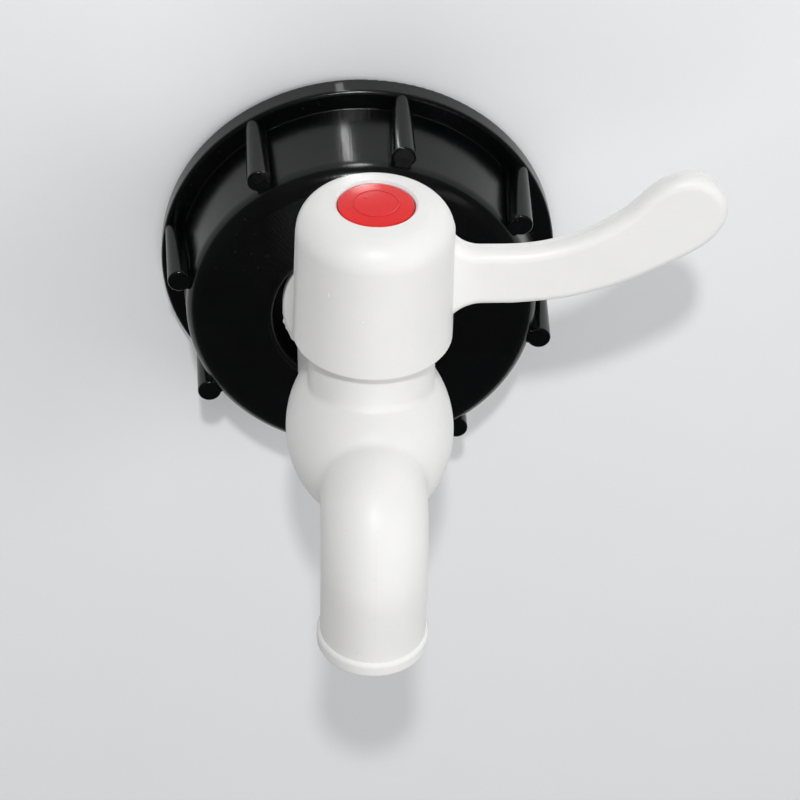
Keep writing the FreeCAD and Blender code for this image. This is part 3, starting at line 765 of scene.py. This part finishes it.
@dataclass
class HandleSeam:
    """Fine parting line where the two halves of the handle's mould met."""

    ridge: float = 0.00007
    skirt_inside: float = 0.0130
    foot_clear: float = 0.0006
    shortest: float = 0.003
    beside: float = 0.00002
    places_per_metre: float = 1e6
    bevel_resolution: int = 2

    def cut_edges(self) -> List[Tuple[Vector, Vector]]:
        """Edges that the handle's middle plane cuts from its skin.

        Returns:
            The two ends of each edge.
        """
        axis = handle_axis()
        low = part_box("handle")[0]
        shape = bmesh.new()
        shape.from_mesh(frame["nodes"]["handle"].data)
        bmesh.ops.bisect_plane(shape, geom=shape.verts[:] + shape.edges[:] + shape.faces[:],
                               plane_co=(0, axis.y + self.beside, 0), plane_no=(0, 1, 0),
                               clear_inner=True, clear_outer=True)
        edges = []
        for edge in shape.edges:
            middle = (edge.verts[0].co + edge.verts[1].co) / 2
            if abs(middle.x) > self.skirt_inside and middle.z > low.z + self.foot_clear:
                edges.append((edge.verts[0].co.copy(), edge.verts[1].co.copy()))
        shape.free()
        return edges

    def chain(self, edges: List[Tuple[Vector, Vector]]) -> List[List[Vector]]:
        """Put loose edges in order, end to end.

        Args:
            edges: The two ends of each edge.

        Returns:
            The lines that they make.
        """
        ends: Dict[Tuple[int, int], List[int]] = {}

        def key(point: Vector) -> Tuple[int, int]:
            """Whole-number place of a point, for meeting ends to be found."""
            return round(point.x * self.places_per_metre), round(point.z * self.places_per_metre)

        for index, (first, second) in enumerate(edges):
            ends.setdefault(key(first), []).append(index)
            ends.setdefault(key(second), []).append(index)
        unused = set(range(len(edges)))
        lines = []
        starts = [edges[found[0]][0] if key(edges[found[0]][0]) == place else edges[found[0]][1]
                  for place, found in ends.items() if len(found) == 1]
        for start in starts:
            line = [start]
            while True:
                following = [i for i in ends[key(line[-1])] if i in unused]
                if not following:
                    break
                unused.discard(following[0])
                first, second = edges[following[0]]
                line.append(second if key(first) == key(line[-1]) else first)
            if sum((b - a).length for a, b in zip(line, line[1:])) > self.shortest:
                lines.append(line)
        return lines

    def build(self) -> None:
        """Make the line as a thin raised thread along the skin, kept inside the handle's own box."""
        curve = bpy.data.curves.new("handle_seam", "CURVE")
        curve.dimensions = "3D"
        curve.bevel_depth = self.ridge
        curve.bevel_resolution = self.bevel_resolution
        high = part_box("handle")[1]
        for line in self.chain(self.cut_edges()):
            spline = curve.splines.new("POLY")
            spline.points.add(len(line) - 1)
            for point, place in zip(spline.points, line):
                across = min(place.x, high.x - self.ridge)
                point.co = (across, place.y, min(place.z, high.z - self.ridge), 1)
        piece = bpy.data.objects.new("handle_seam", curve)
        bpy.context.scene.collection.objects.link(piece)
        curve.materials.append(FINISHES.material(HANDLE_WHITE))
        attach(piece, Body.TURNING.value)
        LOG.info("made handle_seam with %d lines", len(curve.splines))


@dataclass
class FlangeFlash:
    """Ragged fin of spare plastic on the left edge of the tap's flange."""

    first_angle: float = 184.0
    last_angle: float = 228.0
    height: float = 0.00055
    thickness: float = 0.00022
    sunk: float = 0.0002
    behind: float = 0.0004
    flank: float = 0.6
    mean_rise: float = 0.55
    spread: float = 0.9
    teeth: float = 9.0
    noise_row: Tuple[float, float] = (0.3, 0.7)
    lowest: float = 0.05
    swell_power: float = 0.5
    steps: int = 60

    def build(self) -> None:
        """Make the fin, taller and lower along its length."""
        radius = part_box("inlet_tail")[1].x
        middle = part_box("valve_body")[1].y + self.behind
        sections = []
        for step in range(self.steps + 1):
            share = step / self.steps
            angle = math.radians(self.first_angle + (self.last_angle - self.first_angle) * share)
            swell = math.sin(math.pi * share) ** self.swell_power
            tooth = noise.noise(Vector((share * self.teeth, *self.noise_row)))
            ragged = self.mean_rise + self.spread * tooth
            rise = self.height * swell * max(self.lowest, ragged)
            section = []
            profile = ((-self.sunk, -1), (rise * self.flank, -self.flank), (rise, 0),
                       (rise * self.flank, self.flank), (-self.sunk, 1))
            for out, aside in profile:
                reach = radius + out
                section.append((reach * math.cos(angle), middle + aside * self.thickness / 2,
                                reach * math.sin(angle)))
            sections.append(section)
        shape = bmesh.new()
        sweep(shape, sections, closed=False)
        add_piece("flange_flash", shape, BODY_WHITE, Body.FIXED)


@dataclass
class MouldMarks:
    """Small nicks and nibs on the front of the handle's skirt."""

    places: Tuple[Tuple[float, float, float, float], ...] = (
        (-127.0, 0.0385, 0.00016, 0.0006),
        (-101.0, 0.0345, 0.00045, 0.00010),
        (-64.0, 0.0285, 0.00045, 0.00010),
    )
    sunk: float = 0.00008
    rise: float = 0.00016
    skirt_radius: float = 0.0145
    skirt_draft: float = 0.0006
    skirt_top: float = 0.0488
    unevenness: float = 0.2
    unevenness_scale: float = 3.0
    segments: int = 16
    rings: int = 10

    def build(self) -> None:
        """Make each mark from its angle, height, half width and half length."""
        axis = handle_axis()
        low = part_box("handle")[0]
        shape = bmesh.new()
        for angle_deg, height, half_width, half_length in self.places:
            angle = math.radians(angle_deg)
            share = (height - low.z) / (self.skirt_top - low.z)
            skin = self.skirt_radius - self.skirt_draft * share
            made = bmesh.ops.create_uvsphere(shape, u_segments=self.segments, v_segments=self.rings,
                                             radius=1.0)
            for vertex in made["verts"]:
                uneven = noise.noise(vertex.co * self.unevenness_scale)
                place = vertex.co * (1 + self.unevenness * uneven)
                reach = skin - self.sunk + place.x * self.rise
                turn = angle + place.y * half_width / skin
                vertex.co = Vector((axis.x + reach * math.cos(turn), axis.y + reach * math.sin(turn),
                                    height + place.z * half_length))
        add_piece("handle_mould_marks", shape, HANDLE_WHITE, Body.TURNING)


@dataclass
class Backdrop:
    """Pale wall that the cap lies against, open to lamps and to a look from behind."""

    finish: Finish = PALE_WALL
    half: float = 1.2
    behind: float = 0.0006

    def material(self) -> bpy.types.Material:
        """Make the wall's material, clear from behind and to the rays that cast shadows.

        Returns:
            The material.
        """
        material = bpy.data.materials.new(self.finish.name)
        material.use_nodes = True
        tree = material.node_tree
        link = tree.links.new
        shader = tree.nodes["Principled BSDF"]
        out = tree.nodes["Material Output"]
        place = tree.nodes.new("ShaderNodeTexCoord")
        skin = self.finish.skin(tree, place)
        link(skin.outputs["Colour"], shader.inputs["Base Color"])
        link(skin.outputs["Roughness"], shader.inputs["Roughness"])
        shader.inputs["Specular IOR Level"].default_value = self.finish.specular
        side = tree.nodes.new("ShaderNodeNewGeometry")
        path = tree.nodes.new("ShaderNodeLightPath")
        either = math_node(tree, "MAXIMUM", side.outputs["Backfacing"], path.outputs["Is Shadow Ray"])
        clear = tree.nodes.new("ShaderNodeBsdfTransparent")
        mix = tree.nodes.new("ShaderNodeMixShader")
        link(either.outputs["Value"], mix.inputs["Fac"])
        link(shader.outputs["BSDF"], mix.inputs[1])
        link(clear.outputs["BSDF"], mix.inputs[2])
        link(mix.outputs["Shader"], out.inputs["Surface"])
        return material

    def build(self) -> None:
        """Make the wall as one large face that looks toward the user."""
        mesh = bpy.data.meshes.new("backdrop")
        corners = [(-self.half, self.behind, -self.half), (self.half, self.behind, -self.half),
                   (self.half, self.behind, self.half), (-self.half, self.behind, self.half)]
        mesh.from_pydata(corners, [], [(0, 1, 2, 3)])
        mesh.materials.append(self.material())
        wall = bpy.data.objects.new("backdrop", mesh)
        bpy.context.scene.collection.objects.link(wall)


@dataclass
class Lamp:
    """One soft lamp: a disk, or a strip where it has a length.

    A lamp that doesn't shine is left out of reflections. One that doesn't spread is seen in nothing else.
    """

    name: str
    place: Point
    aim: Point
    size: float
    power: float
    shines: bool = True
    spreads: bool = True
    length: float = 0.0

    def build(self) -> None:
        """Put the lamp in the scene, aimed at its point."""
        data = bpy.data.lights.new(self.name, "AREA")
        data.shape = "RECTANGLE" if self.length else "DISK"
        data.size = self.size
        data.size_y = self.length
        data.energy = self.power
        lamp = bpy.data.objects.new(self.name, data)
        lamp.location = self.place
        lamp.rotation_euler = (Vector(self.aim) - Vector(self.place)).to_track_quat("-Z", "Y").to_euler()
        lamp.visible_glossy = self.shines
        lamp.visible_diffuse = self.spreads
        lamp.visible_camera = self.spreads
        bpy.context.scene.collection.objects.link(lamp)


@dataclass
class Studio:
    """Lamps and surroundings.

    The strip, rim and edge lamps stand just clear of the cap, and make its streak and bright spot.
    """

    lamps: Tuple[Lamp, ...] = (
        Lamp("key_lamp", (-0.028, -0.560, 0.570), (0.0, -0.050, 0.0), 0.036, 2.5),
        Lamp("front_lamp", (0.0, -1.300, -0.150), (0.0, 0.0, 0.0), 1.2, 6.5, shines=False),
        Lamp("right_lamp", (1.000, -0.800, 0.300), (0.0, 0.0, 0.0), 1.0, 5.3, shines=False),
        Lamp("back_lamp", (0.250, 0.600, 0.350), (0.0, 0.0, 0.0), 0.5, 0.7, shines=False),
        Lamp("rear_lamp", (0.150, 0.750, -0.200), (0.0, 0.0, 0.0), 0.4, 2.0),
        Lamp("strip_lamp", (-0.0050, -0.0003, 0.0535), (-0.0050, -1.0, 0.0535), 0.0020, 0.0013,
             spreads=False, length=0.018),
        Lamp("rim_lamp", (-0.0046, -0.0003, 0.0418), (-0.0046, -1.0, 0.0418), 0.0016, 0.000028,
             spreads=False, length=0.0026),
        Lamp("edge_lamp", (-0.0018, -0.0170, 0.0620), (-0.0018, -0.0170, 0.0), 0.009, 0.0030,
             spreads=False),
    )
    background: Colour = (0.80, 0.81, 0.83)
    below: float = 0.08
    level: float = 0.13
    overhead: float = 0.22
    heights: Tuple[float, float, float, float] = (0.24, 0.44, 0.78, 0.95)

    def build(self) -> None:
        """Put in the lamps and the world."""
        for lamp in self.lamps:
            lamp.build()
        world = bpy.data.worlds.new("studio_room")
        bpy.context.scene.world = world
        world.use_nodes = True
        tree = world.node_tree
        link = tree.links.new
        tree.nodes.clear()
        out = tree.nodes.new("ShaderNodeOutputWorld")
        place = tree.nodes.new("ShaderNodeTexCoord")
        split = tree.nodes.new("ShaderNodeSeparateXYZ")
        link(place.outputs["Generated"], split.inputs["Vector"])
        height = tree.nodes.new("ShaderNodeMapRange")
        height.inputs["From Min"].default_value = -1.0
        link(split.outputs["Z"], height.inputs["Value"])
        ramp = tree.nodes.new("ShaderNodeValToRGB")
        values = (self.below, self.level, self.level, self.overhead)
        while len(ramp.color_ramp.elements) < len(values):
            ramp.color_ramp.elements.new(0.5)
        for element, position, value in zip(ramp.color_ramp.elements, self.heights, values):
            element.position = position
            element.color = (value, value, value, 1)
        link(height.outputs["Result"], ramp.inputs["Fac"])
        room = tree.nodes.new("ShaderNodeBackground")
        link(ramp.outputs["Color"], room.inputs["Color"])
        pale = tree.nodes.new("ShaderNodeBackground")
        pale.inputs["Color"].default_value = (*self.background, 1)
        path = tree.nodes.new("ShaderNodeLightPath")
        mix = tree.nodes.new("ShaderNodeMixShader")
        link(path.outputs["Is Camera Ray"], mix.inputs["Fac"])
        link(room.outputs["Background"], mix.inputs[1])
        link(pale.outputs["Background"], mix.inputs[2])
        link(mix.outputs["Shader"], out.inputs["Surface"])


@dataclass
class PhotoCamera:
    """Camera that stands where the photograph was taken."""

    target: Point = (0.007702, -0.030, -0.016643)
    distance: float = 0.480898
    elevation: float = 38.597
    azimuth: float = -4.461
    roll: float = 2.271
    focal_pixels: float = 2400.0
    image_pixels: float = 800.0
    sensor: float = 36.0

    def build(self) -> None:
        """Put the camera in the scene and make it the scene's own."""
        rise = math.radians(self.elevation)
        turn = math.radians(self.azimuth)
        back = Vector((math.sin(turn) * math.cos(rise), -math.cos(turn) * math.cos(rise), math.sin(rise)))
        level_right = Vector((0, 0, 1)).cross(back).normalized()
        level_up = back.cross(level_right)
        lean = math.radians(self.roll)
        right = level_right * math.cos(lean) + level_up * math.sin(lean)
        up = level_up * math.cos(lean) - level_right * math.sin(lean)
        data = bpy.data.cameras.new("photo_camera")
        data.sensor_width = self.sensor
        data.lens = self.sensor * self.focal_pixels / self.image_pixels
        camera = bpy.data.objects.new("photo_camera", data)
        place = Vector(self.target) + back * self.distance
        turned = Matrix((right, up, back)).transposed().to_4x4()
        camera.matrix_world = Matrix.Translation(place) @ turned
        bpy.context.scene.collection.objects.link(camera)
        bpy.context.scene.camera = camera


def main() -> None:
    """Build the looks in order and report each piece."""
    logging.basicConfig(level=logging.INFO, format="%(name)s: %(message)s")
    bpy.context.scene.view_settings.view_transform = "Standard"
    FINISHES.dress_nodes()
    builders: List[Callable[[], None]] = [
        CapThread().build,
        ButtonRelief().build,
        HandleSeam().build,
        FlangeFlash().build,
        MouldMarks().build,
        Backdrop().build,
        Studio().build,
        PhotoCamera().build,
    ]
    for build in builders:
        build()


if __name__ == "__main__":
    main()
